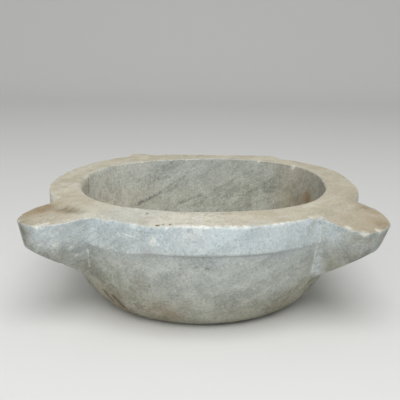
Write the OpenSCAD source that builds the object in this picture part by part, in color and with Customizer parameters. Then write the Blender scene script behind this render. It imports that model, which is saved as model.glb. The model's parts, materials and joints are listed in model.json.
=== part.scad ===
// Holy water stoup carved from one block of grey veined marble.
// A round basin with a flat rim, a plain band under it, a curved belly and four corner lugs.
// Millimetres, +Z up, front towards -Y, origin at the centre of the flat foot.

/* [Bowl] */
// Radius of the round rim
rim_r = 250; // [225:1:290]
// Height from the foot to the rim
stoup_h = 178; // [165:1:220]
// Height of the plain band under the rim
band_h = 39; // [25:1:50]
// How far the band stands proud of the belly
band_step = 6; // [3:0.5:14]
// How far the rim's two rear shoulders stand out beyond its circle
shoulder_out = 15; // [10:1:20]
// Radius of a shoulder's curve, seen from above
shoulder_r = 207; // [195:1:212]
// Angle between straight to the side and each shoulder
shoulder_angle = 47; // [42:1:52]
// Radius of the flat foot
foot_r = 160; // [130:1:185]
// Fullness of the belly's curve: 1 is a cone, 2 is a quarter ellipse
belly_fullness = 1.58; // [1.25:0.01:2]
// How far the belly flares out again towards the band
belly_flare = 14; // [0:1:20]

/* [Well] */
// Width of the rim's flat top at the two sides of the oval mouth
rim_side_w = 50; // [42:1:56]
// Width of the rim's flat top at the front
rim_front_w = 68; // [62:1:84]
// Width of the rim's flat top at the back
rim_back_w = 60; // [56:1:80]
// Thickness of the floor between the well and the foot
floor_t = 46; // [42:1:80]
// How far the wall leans in from the mouth to the floor
well_lean = 14; // [4:1:30]
// Radius of the curve between the wall and the floor
well_corner_r = 40; // [15:1:60]

/* [Lugs] */
// How far a lug stands out from the rim
lug_out = 73; // [50:1:100]
// Width of a lug where it leaves the rim
lug_root_w = 124; // [100:1:150]
// How much of the root's width lies before the lug's middle line, the rest behind it
lug_root_fore = 50; // [40:1:62]
// Width of a lug at its tip
lug_tip_w = 79; // [60:1:96]
// How much of the tip's width lies before the lug's middle line
lug_tip_fore = 43; // [30:1:55]
// Radius of the tip's two corners, seen from above
lug_corner_r = 24; // [6:1:29]
// How far a lug's top lies under the rim where it leaves the bowl
lug_root_drop = 4; // [1:0.5:8]
// How far a lug's top lies under the rim at its tip
lug_tip_drop = 13; // [8:0.5:20]
// Thickness of a lug at its tip
lug_tip_t = 38; // [20:1:45]
// How far the tip's face leans in from top to bottom
lug_tip_lean = 13; // [0:1:20]
// How far below the rim a lug's underside meets the belly
lug_root_t = 112; // [90:1:120]
// Width of a lug's underside where it meets the belly, narrower than its top
lug_keel_w = 26; // [16:1:60]
// Angle between straight ahead and each front lug
front_lug_angle = 50; // [40:1:60]
// Angle between straight back and each rear lug
rear_lug_angle = 45; // [42:1:60]

/* [Flat back] */
// Width of the flat back
back_w = 300; // [220:1:330]
// How far the flat back stands behind the rim's rearmost point
back_proud = 1; // [0.5:0.5:10]
// How far below the rim the flat back runs out into the belly
back_root_t = 70; // [66:1:85]

/* [Dowel socket] */
// Diameter of the fixing dowel
dowel_d = 22; // [12:1:28]
// Radial clearance round the dowel
dowel_clearance = 0.25; // [0.1:0.05:0.5]
// Depth of the socket cut in the foot
socket_depth = 28; // [18:1:36]
// Radius of the socket's mouth
socket_mouth_r = 20; // [17:0.5:30]
// How much wider the socket is at its top, which keys the lead in
socket_flare = 3; // [1:0.5:6]
// Gap that the lead leaves at the socket's wall as it shrinks
lead_gap = 0.2; // [0.1:0.05:0.3]

/* [Hidden] */
$fn = 96;
belly_steps = 18;
belly_crowding = 1.8;
flare_power = 4;
arc_steps = 8;
tip_arc = 60;
cut_over = 1;
beyond = 4 * rim_r;
belly_top_r = rim_r - band_step;
shoulder_shift = rim_r + shoulder_out - shoulder_r;
belly_h = stoup_h - band_h;
well_depth = stoup_h - floor_t;
well_half_w = rim_r - rim_side_w;
well_half_d = rim_r - (rim_front_w + rim_back_w) / 2;
well_set_back = (rim_front_w - rim_back_w) / 2;
mouth_shift = well_half_w - well_half_d;
lug_reach = rim_r + lug_out;
back_y = rim_r + back_proud;
root_bury = 35;
under_bury = 12;
bore_r = dowel_d / 2 + dowel_clearance;
front_turn = -90;
back_turn = 90;

// Direction of each lug, and 1 where it is the mirror image of the lug module
lug_turns = [
    [front_turn - front_lug_angle, 0],
    [front_turn + front_lug_angle, 1],
    [back_turn - rear_lug_angle, 0],
    [back_turn + rear_lug_angle, 1]
];

// Radius of the belly at height z, a superellipse from the foot that flares out again towards the band
function belly_r(z) =
    foot_r + (belly_top_r - belly_flare - foot_r)
        * pow(1 - pow(1 - z / belly_h, belly_fullness), 1 / belly_fullness)
        + belly_flare * pow(z / belly_h, flare_power);

// Heights along the belly, close together near the foot where it turns under
belly_z = [for (i = [0:belly_steps]) belly_h * pow(i / belly_steps, belly_crowding)];

// Points on an arc round c from angle a to angle b
function arc(c, r, a, b) =
    [for (i = [0:arc_steps]) c + r * [cos(a + (b - a) * i / arc_steps), sin(a + (b - a) * i / arc_steps)]];

// Half section of the belly, which runs on into the band
belly_section = concat(
    [[0, 0]],
    [for (z = belly_z) [belly_r(z), z]],
    [[belly_top_r - under_bury, belly_h + under_bury], [0, belly_h + under_bury]]
);

// Half section of the well, whose wall leans in and turns into the floor on an arc
wall_lean_angle = atan(well_lean / well_depth);
wall_slope = well_lean / well_depth;
corner_z = floor_t + well_corner_r;
corner_x = well_half_d - wall_slope * (stoup_h - corner_z) - well_corner_r / cos(wall_lean_angle);
well_section = concat(
    [[0, floor_t]],
    arc([corner_x, corner_z], well_corner_r, -90, -wall_lean_angle),
    [
        [well_half_d + wall_slope * cut_over, stoup_h + cut_over],
        [0, stoup_h + cut_over]
    ]
);

// Seen from above: a tapered lug with rounded tip corners, buried in the bowl at its root.
// Each of its two sides is worked out from its distance off the middle line at the root and at the tip.
lug_root_x = sqrt(rim_r * rim_r - lug_root_w * lug_root_w / 4);
tip_x = lug_reach - lug_corner_r;
lug_root_aft = lug_root_w - lug_root_fore;
lug_tip_aft = lug_tip_w - lug_tip_fore;
function side_end(tip) =
    [tip_x, tip - lug_corner_r] + lug_corner_r * [cos(tip_arc), sin(tip_arc)];
function side_slope(root, tip) = (root - side_end(tip).y) / (side_end(tip).x - lug_root_x);
function bury_y(root, tip) = root + root_bury * side_slope(root, tip);
bury_x = lug_root_x - root_bury;
fore_y = bury_y(lug_root_fore, lug_tip_fore);
aft_y = bury_y(lug_root_aft, lug_tip_aft);
lug_plan = concat(
    [[0, -aft_y], [bury_x, -aft_y]],
    arc([tip_x, lug_corner_r - lug_tip_aft], lug_corner_r, -tip_arc, 0),
    arc([tip_x, lug_tip_fore - lug_corner_r], lug_corner_r, 0, tip_arc),
    [[bury_x, fore_y], [0, fore_y]]
);

// Seen from the side: a lug's sloping top, leaning tip and rising underside
lug_root_z = stoup_h - lug_root_t;
lug_tip_z = stoup_h - lug_tip_drop;
lug_side = [
    [0, lug_root_z],
    [belly_r(lug_root_z) - under_bury, lug_root_z],
    [lug_reach - lug_tip_lean, lug_tip_z - lug_tip_t],
    [lug_reach, lug_tip_z],
    [rim_r, stoup_h - lug_root_drop],
    [0, stoup_h - lug_root_drop]
];

// Section across a lug's side, which leans in from the height of its tip's top to the narrow underside
flank_lean = (lug_root_w - lug_keel_w) / 2;
flank_rise = flank_lean * lug_tip_drop / (lug_tip_z - lug_root_z);
flank_section = [
    [-beyond, lug_root_z],
    [-flank_lean, lug_root_z],
    [flank_rise, stoup_h],
    [-beyond, stoup_h]
];

// Side view of the flat back: level with the rim above, sloping into the belly below
back_root_z = stoup_h - back_root_t;
back_side = [
    [0, back_root_z],
    [belly_r(back_root_z) * cos(asin(back_w / 2 / rim_r)) - under_bury, back_root_z],
    [back_y, belly_h],
    [back_y, stoup_h],
    [0, stoup_h]
];

// Half section of the socket or of its lead, wider at the top than at the mouth
function socket_section(mouth_r, top_r, bottom, top) =
    [[0, bottom], [mouth_r, bottom], [top_r, top], [0, top]];

module lug() {
    intersection() {
        linear_extrude(stoup_h) polygon(lug_plan);
        translate([0, lug_root_w, 0])
            rotate([90, 0, 0])
                linear_extrude(2 * lug_root_w) polygon(lug_side);
        flank(lug_root_fore, lug_tip_fore);
        mirror([0, 1, 0]) flank(lug_root_aft, lug_tip_aft);
    }
}

// All that lies within one leaning side of a lug
module flank(root, tip) {
    translate([lug_root_x, root, 0])
        rotate([0, 0, -atan(side_slope(root, tip))])
            translate([-beyond / 2, 0, 0])
                rotate([90, 0, 90])
                    linear_extrude(beyond) polygon(flank_section);
}

// The rim seen from above: a circle with two rear shoulders
module rim_plan() {
    circle(r = rim_r);
    for (turn = [shoulder_angle, 180 - shoulder_angle])
        rotate(turn) translate([shoulder_shift, 0]) circle(r = shoulder_r);
}

// The bowl before it is hollowed: the belly with the band under the rim
module bowl() {
    rotate_extrude() polygon(belly_section);
    translate([0, 0, belly_h]) linear_extrude(band_h) rim_plan();
}

module flat_back() {
    translate([-back_w / 2, 0, 0])
        rotate([90, 0, 90])
            linear_extrude(back_w) polygon(back_side);
}

module well() {
    translate([0, well_set_back, 0]) {
        for (side = [-1, 1])
            translate([side * mouth_shift, 0, 0])
                rotate_extrude() polygon(well_section);
        for (turn = [0, 180])
            rotate([0, 0, turn])
                translate([-mouth_shift, 0, 0])
                    rotate([90, 0, 90])
                        linear_extrude(2 * mouth_shift) polygon(well_section);
    }
}

module socket() {
    rotate_extrude()
        polygon(socket_section(
            socket_mouth_r - socket_flare * cut_over / socket_depth,
            socket_mouth_r + socket_flare,
            -cut_over,
            socket_depth
        ));
}

// The stone: one carved block
module basin() {
    color("lightgray")
        difference() {
            union() {
                bowl();
                for (turn = lug_turns) rotate([0, 0, turn[0]]) mirror([0, turn[1], 0]) lug();
                flat_back();
            }
            well();
            socket();
        }
}

// Lead run into the socket round a dowel, keyed by the socket's flare
module lead_sleeve() {
    color("dimgray")
        difference() {
            rotate_extrude()
                polygon(socket_section(
                    socket_mouth_r - lead_gap,
                    socket_mouth_r + socket_flare - lead_gap,
                    0,
                    socket_depth - lead_gap
                ));
            translate([0, 0, -cut_over]) cylinder(r = bore_r, h = socket_depth + 2 * cut_over);
        }
}

basin();
lead_sleeve();
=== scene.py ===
import json
import math

import bpy
import numpy as np
from mathutils import Matrix, Vector


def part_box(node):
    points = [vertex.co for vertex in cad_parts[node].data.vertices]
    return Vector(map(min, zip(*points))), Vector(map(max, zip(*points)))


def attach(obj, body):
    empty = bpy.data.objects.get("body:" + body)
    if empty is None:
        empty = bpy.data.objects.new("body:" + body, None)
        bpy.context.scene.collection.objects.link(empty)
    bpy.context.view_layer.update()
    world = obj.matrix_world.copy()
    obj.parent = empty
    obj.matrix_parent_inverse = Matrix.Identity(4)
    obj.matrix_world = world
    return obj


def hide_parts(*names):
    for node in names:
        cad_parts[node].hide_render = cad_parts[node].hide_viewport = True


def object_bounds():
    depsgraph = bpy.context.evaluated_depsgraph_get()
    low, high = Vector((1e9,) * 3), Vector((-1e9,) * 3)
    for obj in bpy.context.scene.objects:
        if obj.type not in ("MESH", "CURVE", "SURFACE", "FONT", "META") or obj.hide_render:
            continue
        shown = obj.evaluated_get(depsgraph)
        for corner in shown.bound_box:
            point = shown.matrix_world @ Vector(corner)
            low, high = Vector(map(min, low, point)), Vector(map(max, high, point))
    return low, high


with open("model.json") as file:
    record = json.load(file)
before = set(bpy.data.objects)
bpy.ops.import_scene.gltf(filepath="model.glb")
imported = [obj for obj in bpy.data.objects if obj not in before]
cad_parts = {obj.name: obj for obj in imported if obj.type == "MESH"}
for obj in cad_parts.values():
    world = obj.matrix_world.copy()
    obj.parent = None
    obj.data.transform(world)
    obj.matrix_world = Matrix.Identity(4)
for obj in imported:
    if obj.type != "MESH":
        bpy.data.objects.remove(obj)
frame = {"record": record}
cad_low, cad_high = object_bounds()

MM = 0.001

# Main sizes of the stone, in metres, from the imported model's own boxes
stone_low, stone_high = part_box("basin")
_, sleeve_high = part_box("lead_sleeve")
HEIGHT = stone_high.z
RIM_R = -stone_low.y
BACK_Y = stone_high.y

# Bowl: the band under the rim, the belly and the foot, which sits a little left of the rim's centre
BAND_H = 39 * MM
BAND_STEP = 4.5 * MM
UNDER_BAND_SLOPE = 0.7
BELLY_R = RIM_R - BAND_STEP
BELLY_H = HEIGHT - BAND_H
BELLY_FULLNESS = 1.58
BELLY_FLARE = 14 * MM
FLARE_POWER = 4
FOOT_R = 160 * MM
FOOT_SHIFT = -5 * MM
BACK_HALF_W = 150 * MM

# Well: its oval mouth, its leaning wall and the curve into its floor
MOUTH_HALF_W = 200 * MM
MOUTH_HALF_D = 186 * MM
MOUTH_BACK = 4 * MM
FLOOR_T = 46 * MM
WELL_LEAN = 14 * MM
WELL_CORNER_R = 40 * MM

# Dowel socket in the foot
SOCKET_MOUTH_R = 20 * MM
SOCKET_TOP_R = 23 * MM
SOCKET_DEPTH = 28 * MM

# Lead in the socket: points round it, rows on each side of its section, and the dents in its face
LEAD_COLUMNS = 96
LEAD_ROWS = (14, 10, 14, 12)
LEAD_DENTS = 18
LEAD_DENT_DEPTH = 0.5 * MM

# Hand-cut swells of the rim: (direction in degrees, half width in degrees, height)
RIM_SWELLS = (
    (36, 34, 17 * MM),
    (52, 12, 10 * MM),
    (128, 40, 17.5 * MM),
)

# Hand-cut swells of the well's mouth, and the share of them that is left at the foot of its wall
MOUTH_SWELLS = (
    (50, 55, 30 * MM),
    (95, 50, 11 * MM),
    (145, 45, 9 * MM),
    (-138, 36, 9 * MM),
    (-76, 24, -5 * MM),
    (-38, 20, 3 * MM),
)
SWELL_AT_WALL_FOOT = 0.4

# Worn dips of the rim's outer edge: (direction in degrees, half width in degrees, depth)
RIM_DIPS = (
    (-106, 6, 3.4 * MM),
    (-113, 8, 1.0 * MM),
    (-125, 8, 2.4 * MM),
)

# The rim's outer edge: its drop under the top, its unevenness at the front and its step in above a lug
RIM_DROP = 0.3 * MM
FRONT_DROP = 0.3 * MM
FRONT_WOBBLE = ((60 * MM, 0.3 * MM, 3), (22 * MM, 0.2 * MM, 4))
STEP_IN = 2 * MM
FRONT_STEP_IN = 7 * MM

# Rounding of the rim's outer edge: plain, least, more at worn places, and uneven by layers of noise
EDGE_WEAR = 2.6 * MM
LEAST_WEAR = 1.2 * MM
WORN_EDGES = ((-80, 20, 1 * MM), (-119, 11, 5 * MM))
RAGGED_EDGE = ((30 * MM, 1.6 * MM, 5), (9 * MM, 1.4 * MM, 7))

# The mouth's edge: its drop under the top, and its rounding, greater on the near side and at the left
MOUTH_DROP = 0.7 * MM
MOUTH_WOBBLE = ((50 * MM, 0.5 * MM, 6),)
MOUTH_WEAR = 1.2 * MM
NEAR_MOUTH_WEAR = 1.3 * MM
LEFT_MOUTH_WEAR = ((180, 16, 10 * MM),)

# Rounding of the step under the band, greater where it is worn away
STEP_ROUNDING = 2 * MM
WORN_STEP = ((-120, 13, 16 * MM),)

# Lugs: how far they stand out, and their undersides, which narrow to a rising keel
LUG_OUT = 72 * MM
KEEL_R = 217 * MM
KEEL_DROP = 112 * MM
FLANK_SLOPE = 2.05
LUG_FACE = 3 * MM
LUG_SPAN = 24
EDGE_POINTS = 420
LUG_EASE = 8 * MM
ROOT_EASE = 7
LEAST_REACH = 0.05 * MM

# Shares of a lug's reach between which the slope of its flanks gives way to that of its tip
TIP_START = 0.4
TIP_STOP = 0.9

# Where there is no lug, the lug's rows lie on the band, this far under the rim's edge and each other
PLAIN_ROOT_DROP = 8 * MM
PLAIN_EDGE_DROP = 5 * MM

# The right rear lug, mirrored for the left one: its outline and what the two share
REAR_OUTLINE = ((-16, 0), (-11, 36), (-7, 57), (-4, 68), (0, 71), (7.4, 65), (9, 42), (11.6, 0))
REAR_LUG = {
    "tip_drop": 22 * MM,
    "root_drops": (9 * MM, 9 * MM),
    "keel_rise": 0.65,
    "keel_blend": 5 * MM,
    "tip_slope": 3.2,
}

# Each lug's direction, outline from above as (degrees off its axis, mm beyond the rim), tip, root and keel
LUGS = (
    {
        "turn": -140,
        "outline": ((-14, 0), (-11, 30), (-7, 57), (-4, 68.5), (0, 70.5), (3.2, 66), (4.8, 60), (7.2, 46),
                    (8.2, 39.5), (8.9, 34), (9.6, 26), (10.4, 17), (11.4, 9), (12.8, 3.5), (15, 0)),
        "tip_drop": 13 * MM,
        "root_drops": (8 * MM, 1.5 * MM),
        "keel_rise": 0.62,
        "keel_blend": 6 * MM,
        "tip_slope": 4.8,
    },
    {
        "turn": -40,
        "outline": ((-10.8, 0), (-9.3, 46), (-6, 66), (0, 71), (5, 67.5), (9, 55), (15, 31), (19, 0)),
        "tip_drop": 13 * MM,
        "root_drops": (1.5 * MM, 6 * MM),
        "keel_rise": 0.69,
        "keel_blend": 3 * MM,
        "tip_slope": 2.7,
    },
    {"turn": 45, "outline": REAR_OUTLINE, **REAR_LUG},
    {"turn": 135, "outline": tuple((-side, out) for side, out in reversed(REAR_OUTLINE)), **REAR_LUG},
)

# Unevenness of hand-cut stone, as layers of noise: (size, height, seed)
RELIEF_LAYERS = (
    (90 * MM, 1.0 * MM, 11),
    (34 * MM, 0.55 * MM, 12),
    (15 * MM, 0.3 * MM, 13),
    (7 * MM, 0.18 * MM, 14),
)

# A pecked stretch of the band: the size and seed of its noise, its place and height, and its fade upwards
PECK_SIZE = 6 * MM
PECK_SEED = 21
PECKED_STRETCH = ((-124, 12, 0.4 * MM),)
PECK_FADE = 8 * MM

# How much of the unevenness each zone has, and the height over which it fades out towards the flat foot
RELIEF_SHARES = (
    (1.0, ("outside", "face")),
    (0.9, ("wall", "corner", "floor")),
    (0.8, ("ledge",)),
    (0.7, ("ledge edge",)),
    (0.6, ("step", "step edge")),
    (0.5, ("rim top", "rim top edge", "wall edge")),
)
FOOT_FADE = 14 * MM

# Seeded chips along edges: (zone, how many, only on lugs, least and greatest radius in mm)
CHIP_SEED = 5
EDGE_CHIPS = (
    ("rim top edge", 70, False, 2.0, 5.5),
    ("ledge edge", 22, True, 2.0, 4.5),
    ("wall edge", 36, False, 1.5, 4.0),
)

# Depth of the seeded chips, as shares of their radius, and the noise that makes every chip's edge ragged
CHIP_DEPTHS = (0.15, 0.35)
RAGGED_CHIPS = ((5 * MM, 0.35, 31),)

# Chips, pits and dents seen in the photograph: (place in mm, radius in mm, depth in mm, kind)
HAND_CHIPS = (
    # Pits in the top of the rim
    ((-59, -235, 174), 3.4, 1.4, "pit"), ((-52, -234, 174), 3, 1.4, "pit"),
    ((-43, -238, 176), 2.4, 0.8, "pit"), ((-77, -189, 177), 3, 1.2, "pit"),
    # Edge of the left lug's top
    ((-222, -216, 165), 8, 2.4, "fresh"), ((-211, -212, 165), 8, 2.4, "fresh"),
    # Edge of the right lug's top
    ((193, -214, 167), 7, 2.8, "fresh"), ((201, -219, 168), 6, 2, "old"),
    ((213, -225, 165), 8, 2.6, "fresh"), ((223, -216, 165), 6, 2, "old"),
    ((234, -209, 164), 7, 2.6, "fresh"), ((246, -200, 164), 5, 1.6, "old"),
    # Left lug's side
    ((-184, -189, 126), 6, 0.5, "fresh"), ((-179, -176, 111), 6, 0.5, "fresh"),
    ((-173, -177, 121), 4, 0.4, "fresh"), ((-202, -208, 135), 4.5, 0.5, "fresh"),
    # Band
    ((-65, -241, 154), 8, 0.8, "fresh"),
    # Well's rear edge
    ((168, 150, 176), 8, 2.5, "fresh"),
    # Rear edge of the rim
    ((-96, 250, 177), 26, 3.2, "old"), ((148, 247, 177), 16, 3.5, "old"),
    # Root of the left lug
    ((-206, -150, 171), 13, 2, "old"), ((-187, -168, 172), 12, 2.4, "old"),
    ((-173, -178, 173), 9, 1.6, "old"),
)

# Dark veins in the well's far wall, as thin straight marks: (start, end and half width in mm, strength)
WALL_VEINS = (
    ((-124, 145, 100), (-103, 160, 107), 4.6, 0.85),
    ((-103, 160, 107), (-85, 171, 117), 4.0, 0.65),
    ((-85, 171, 117), (-63, 183, 131), 3.6, 0.5),
    ((-63, 183, 131), (-37, 192, 145), 3.4, 0.35),
    ((-50, 179, 93), (-7, 190, 107), 4.4, 0.45),
    ((-27, 183, 86), (-3, 187, 93), 4.0, 0.4),
    ((-90, 174, 142), (-67, 184, 145), 4.8, 0.3),
)

# Pale chisel lines beside the front lugs and scratches on the band, in the same way
CHISEL_LINES = (
    ((-164, -188, 133), (-163, -174, 113), 1.8, 0.75),
    ((-163, -174, 113), (-164, -162, 88), 1.6, 0.65),
    ((162, -191, 175), (161, -189, 138), 3.8, 0.65),
    ((159, -184, 134), (160, -168, 109), 2.2, 0.8),
    ((160, -168, 109), (160, -151, 81), 2.4, 0.8),
    ((-114, -223, 158), (-105, -227, 159), 1.8, 0.65),
    ((-105, -227, 159), (-92, -232, 157), 1.8, 0.6),
    ((-114, -223, 158), (-110, -225, 155), 1.7, 0.5),
    ((-110, -225, 155), (-100, -229, 155), 1.6, 0.4),
    ((-66, -241, 156), (-58, -243, 150), 3.0, 0.45),
)

# Dark nicks in the rim, streaks on the left lug and in the well, and tool strokes low on the left
DARK_NICKS = (
    ((-60, -235, 174), (-58, -236, 174), 3.4, 1.0),
    ((-52, -232, 174), (-52, -237, 174), 2.6, 0.95),
    ((-43, -236, 176), (-43, -239, 176), 2.2, 0.75),
    ((-78, -187, 177), (-77, -191, 177), 2.6, 0.8),
    ((-206, -153, 170), (-191, -163, 171), 5.0, 0.25),
    ((-191, -163, 171), (-176, -172, 173), 5.0, 0.3),
    ((-199, 41, 172), (-198, 28, 150), 3.4, 0.35),
    ((-146, -146, 43), (-134, -143, 26), 8.0, 0.5),
    ((-130, -157, 39), (-116, -152, 21), 8.5, 0.62),
    ((-123, -172, 53), (-120, -163, 37), 6.0, 0.2),
)

# Brown stains, as soft round patches: (x, y and z in mm, radius in mm, strength)
BROWN_SPOTS = (
    # Left front lug
    (-251, -161, 167, 18, 0.9), (-237, -152, 168, 20, 1.0), (-227, -133, 170, 16, 0.9),
    (-200, -158, 171, 14, 0.6), (-187, -168, 172, 11, 0.6), (-197, -194, 116, 22, 0.3),
    (-165, -160, 85, 18, 0.25),
    # Right front lug
    (202, -205, 123, 24, 0.38), (188, -180, 104, 22, 0.35), (245, -180, 166, 22, 0.45),
    (238, -119, 171, 10, 0.4), (246, -138, 169, 12, 0.4),
    # Top of the rim
    (73, -203, 177, 14, 0.2), (92, -208, 177, 14, 0.2),
    # Band
    (-70, -238, 137, 8, 0.35), (-60, -240, 137, 7, 0.25),
    # Belly
    (-144, -149, 46, 20, 0.4), (-131, -152, 33, 18, 0.5), (-121, -145, 18, 18, 0.6),
    (-66, -188, 36, 22, 0.65), (-47, -190, 31, 24, 0.8), (-27, -205, 44, 16, 0.4),
    (-87, -206, 79, 10, 0.4),
    # Well
    (187, 92, 138, 11, 0.8), (188, 83, 131, 12, 0.9), (182, 98, 128, 14, 0.45),
    (157, 136, 121, 24, 0.2), (-180, 84, 124, 36, 0.35),
)

# Dark grime, and painted shade on the front lugs' tips and flanks, low at the left lug's root and just
# under the band's top edge, in the same way
GRIME_AND_SHADE_SPOTS = (
    # Left front lug
    (-209, -148, 169, 8, 0.3), (-199, -158, 171, 9, 0.5), (-189, -164, 171, 9, 0.5),
    (-179, -173, 172, 9, 0.45), (-170, -178, 173, 8, 0.3), (-237, -209, 158, 16, 0.25),
    (-229, -212, 143, 16, 0.16), (-217, -211, 136, 14, 0.12), (-176, -178, 113, 12, 0.18),
    (-172, -167, 96, 16, 0.27), (-160, -166, 95, 13, 0.24), (-158, -157, 76, 16, 0.34),
    (-222, -140, 170, 12, 0.1), (-248, -201, 152, 15, 0.5), (-245, -199, 138, 14, 0.45),
    (-235, -205, 129, 12, 0.42), (-217, -207, 121, 13, 0.36),
    # Right front lug
    (209, -225, 160, 9, 0.35), (206, -222, 154, 12, 0.2), (217, -224, 157, 14, 0.3),
    (207, -217, 143, 15, 0.2), (145, -200, 176, 8, 0.15), (238, -119, 171, 9, 0.15),
    (249, -198, 153, 13, 0.3), (242, -200, 140, 13, 0.36), (222, -211, 132, 12, 0.3),
    (206, -208, 122, 12, 0.32),
    # Top of the rim
    (-248, 0, 176, 24, 0.11),
    # Band
    (-134, -211, 140, 12, 0.13), (118, -220, 143, 10, 0.1), (139, -208, 142, 10, 0.1),
    (-126, -216, 164, 12, 0.12), (-5, -250, 155, 12, 0.08), (-77, -238, 147, 16, 0.13),
    (-138, -208, 136, 10, 0.12), (-109, -225, 168, 13, 0.18), (73, -242, 171, 18, 0.17),
    # Belly
    (6, -236, 115, 2.5, 0.6), (-101, -200, 83, 12, 0.09), (-73, -208, 76, 14, 0.09),
    (-121, -163, 38, 10, 0.18), (-127, -178, 69, 12, 0.1), (-58, -231, 122, 14, 0.1),
    (60, -217, 91, 12, 0.08), (87, -197, 70, 12, 0.08), (129, -176, 78, 12, 0.08),
    (-119, -187, 77, 22, 0.13), (47, -195, 41, 14, 0.18), (-71, -226, 117, 16, 0.08),
    # Well
    (-90, 172, 135, 18, 0.1), (-57, 189, 155, 16, 0.1), (72, 193, 135, 16, 0.2),
    (99, 180, 121, 16, 0.14),
)

# Dull olive patches, most of them painted shade: on the left lug's tip, on the right lug's flank and on the
# band's right side
DULL_AND_SHADE_SPOTS = (
    # Left front lug
    (-239, -208, 149, 16, 0.6), (-231, -209, 135, 12, 0.4), (-247, -200, 152, 17, 0.95),
    (-245, -198, 137, 16, 0.9), (-237, -204, 130, 14, 0.85), (-221, -209, 124, 14, 0.75),
    # Right front lug
    (198, -220, 154, 20, 0.75), (212, -223, 153, 20, 0.8), (225, -218, 152, 20, 0.8),
    (238, -208, 152, 20, 0.7), (148, -201, 160, 12, 0.45), (154, -197, 148, 10, 0.4),
    (248, -197, 151, 14, 0.85), (241, -200, 140, 12, 0.8), (222, -211, 133, 12, 0.7),
    (206, -209, 123, 12, 0.6),
    # Band
    (115, -222, 160, 34, 0.2), (-92, -232, 150, 20, 0.2),
)

# Cleaner blue-grey patches; the two on the left lug are painted light on its front face
CLEAN_AND_LIT_SPOTS = (
    # Left front lug
    (-184, -189, 126, 16, 0.4), (-175, -177, 115, 14, 0.45),
    # Right front lug
    (172, -196, 157, 18, 0.9), (177, -207, 166, 14, 0.7), (161, -180, 131, 6, 0.9),
    (163, -171, 120, 7, 0.9), (164, -163, 106, 8, 0.9), (165, -157, 94, 9, 0.9),
    (166, -152, 83, 9, 0.9),
)

# Paler cloudy patches; those on the left lug's front face are painted light, and the low ones at the front
# of the foot are painted light bounced up from the floor
PALE_SPOTS = (
    # Left front lug
    (-204, -213, 152, 16, 0.25), (-199, -206, 134, 14, 0.5), (-183, -209, 160, 14, 0.4),
    (-174, -201, 156, 14, 0.45), (-163, -197, 160, 12, 0.45), (-187, -199, 138, 12, 0.4),
    (-178, -197, 147, 10, 0.4),
    # Right front lug
    (170, -196, 160, 16, 0.45), (190, -213, 155, 10, 0.6), (173, -191, 148, 12, 0.6),
    (162, -179, 130, 9, 0.7), (163, -171, 120, 6, 0.4), (164, -163, 106, 7, 0.4),
    (165, -157, 94, 8, 0.25), (166, -152, 83, 8, 0.3), (161, -186, 138, 8, 0.4),
    (174, -180, 130, 10, 0.3),
    # Top of the rim
    (-92, -170, 177, 4, 0.9),
    # Band
    (-14, -250, 166, 24, 0.3), (-90, -233, 163, 10, 0.2),
    # Belly
    (-37, -235, 118, 22, 0.35), (61, -231, 122, 24, 0.28), (-112, -208, 110, 14, 0.25),
    (-37, -201, 42, 14, 0.25), (-100, -216, 116, 12, 0.25), (-104, -172, 40, 12, 0.2),
    (-90, -186, 45, 12, 0.2), (-23, -201, 41, 12, 0.2), (10, -188, 22, 30, 0.14),
    (78, -180, 28, 16, 0.16),
    # Well
    (57, 183, 86, 14, 0.2), (133, 150, 96, 14, 0.2),
)

# The marble's bedding: how it is turned, in degrees, and the size of its streaks and veins along it
BEDDING = (-17, -30, 0)
STREAK_SIZE = (190 * MM, 150 * MM, 24 * MM)
VEIN_SIZE = (330 * MM, 260 * MM, 64 * MM)

# Columns of points round the stone, the share of them at the front, and how far back the front goes
COLUMNS = 500
FRONT_SHARE = 0.66
FRONT_END = 0.25

# Rows up the outside of the stone, and round the curve between the well's wall and its floor
OUTSIDE_ROWS = 78
CORNER_ROWS = 8

# Fine samples up the belly, the step, a lug's underside and its face, and how closely each is meshed
SAMPLES = (160, 24, 120, 30)
CLOSENESS = (0.8, 1.6, 1.0, 1.3)

# Angles that a plan is read at, and how many on each side soften it
PLAN_ANGLES = np.linspace(-180.0, 180.0, 7200, endpoint=False)
PLAN_SOFTENING = 12

# A height that no surface reaches
NOWHERE = 1.0

# The photograph's camera: focal length and width in pixels, the eye's place in rim radii, turns in degrees
FOCAL_PX = 633.9
PHOTO_PX = 400
EYE_BACK = 4.1
EYE_ABOVE_RIM = 0.953
PITCH, YAW, ROLL = 14.70, -0.34, 0.78


def smooth(t):
    """Eases 0 to 1 with flat ends: 3t squared less 2t cubed, clipped."""
    t = np.clip(t, 0.0, 1.0)
    return t * t * (3.0 - 2.0 * t)


def ramp(value, start, stop):
    """Eases from 0, where a value is at start, to 1, where it is at stop."""
    return smooth((value - start) / (stop - start))


def soft_max(a, b, blend):
    """The larger of two heights, rounded where they cross: half of a + b + root((a - b)^2 + blend^2)."""
    return 0.5 * (a + b + np.sqrt((a - b) ** 2 + blend ** 2))


def soft_min(a, b, blend):
    """The smaller of two heights, rounded where they cross."""
    return -soft_max(-a, -b, blend)


def bell(distance, width):
    """A bell curve: 1 at distance 0, falling as exp(-(distance / width)^2)."""
    return np.exp(-((distance / width) ** 2))


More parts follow.
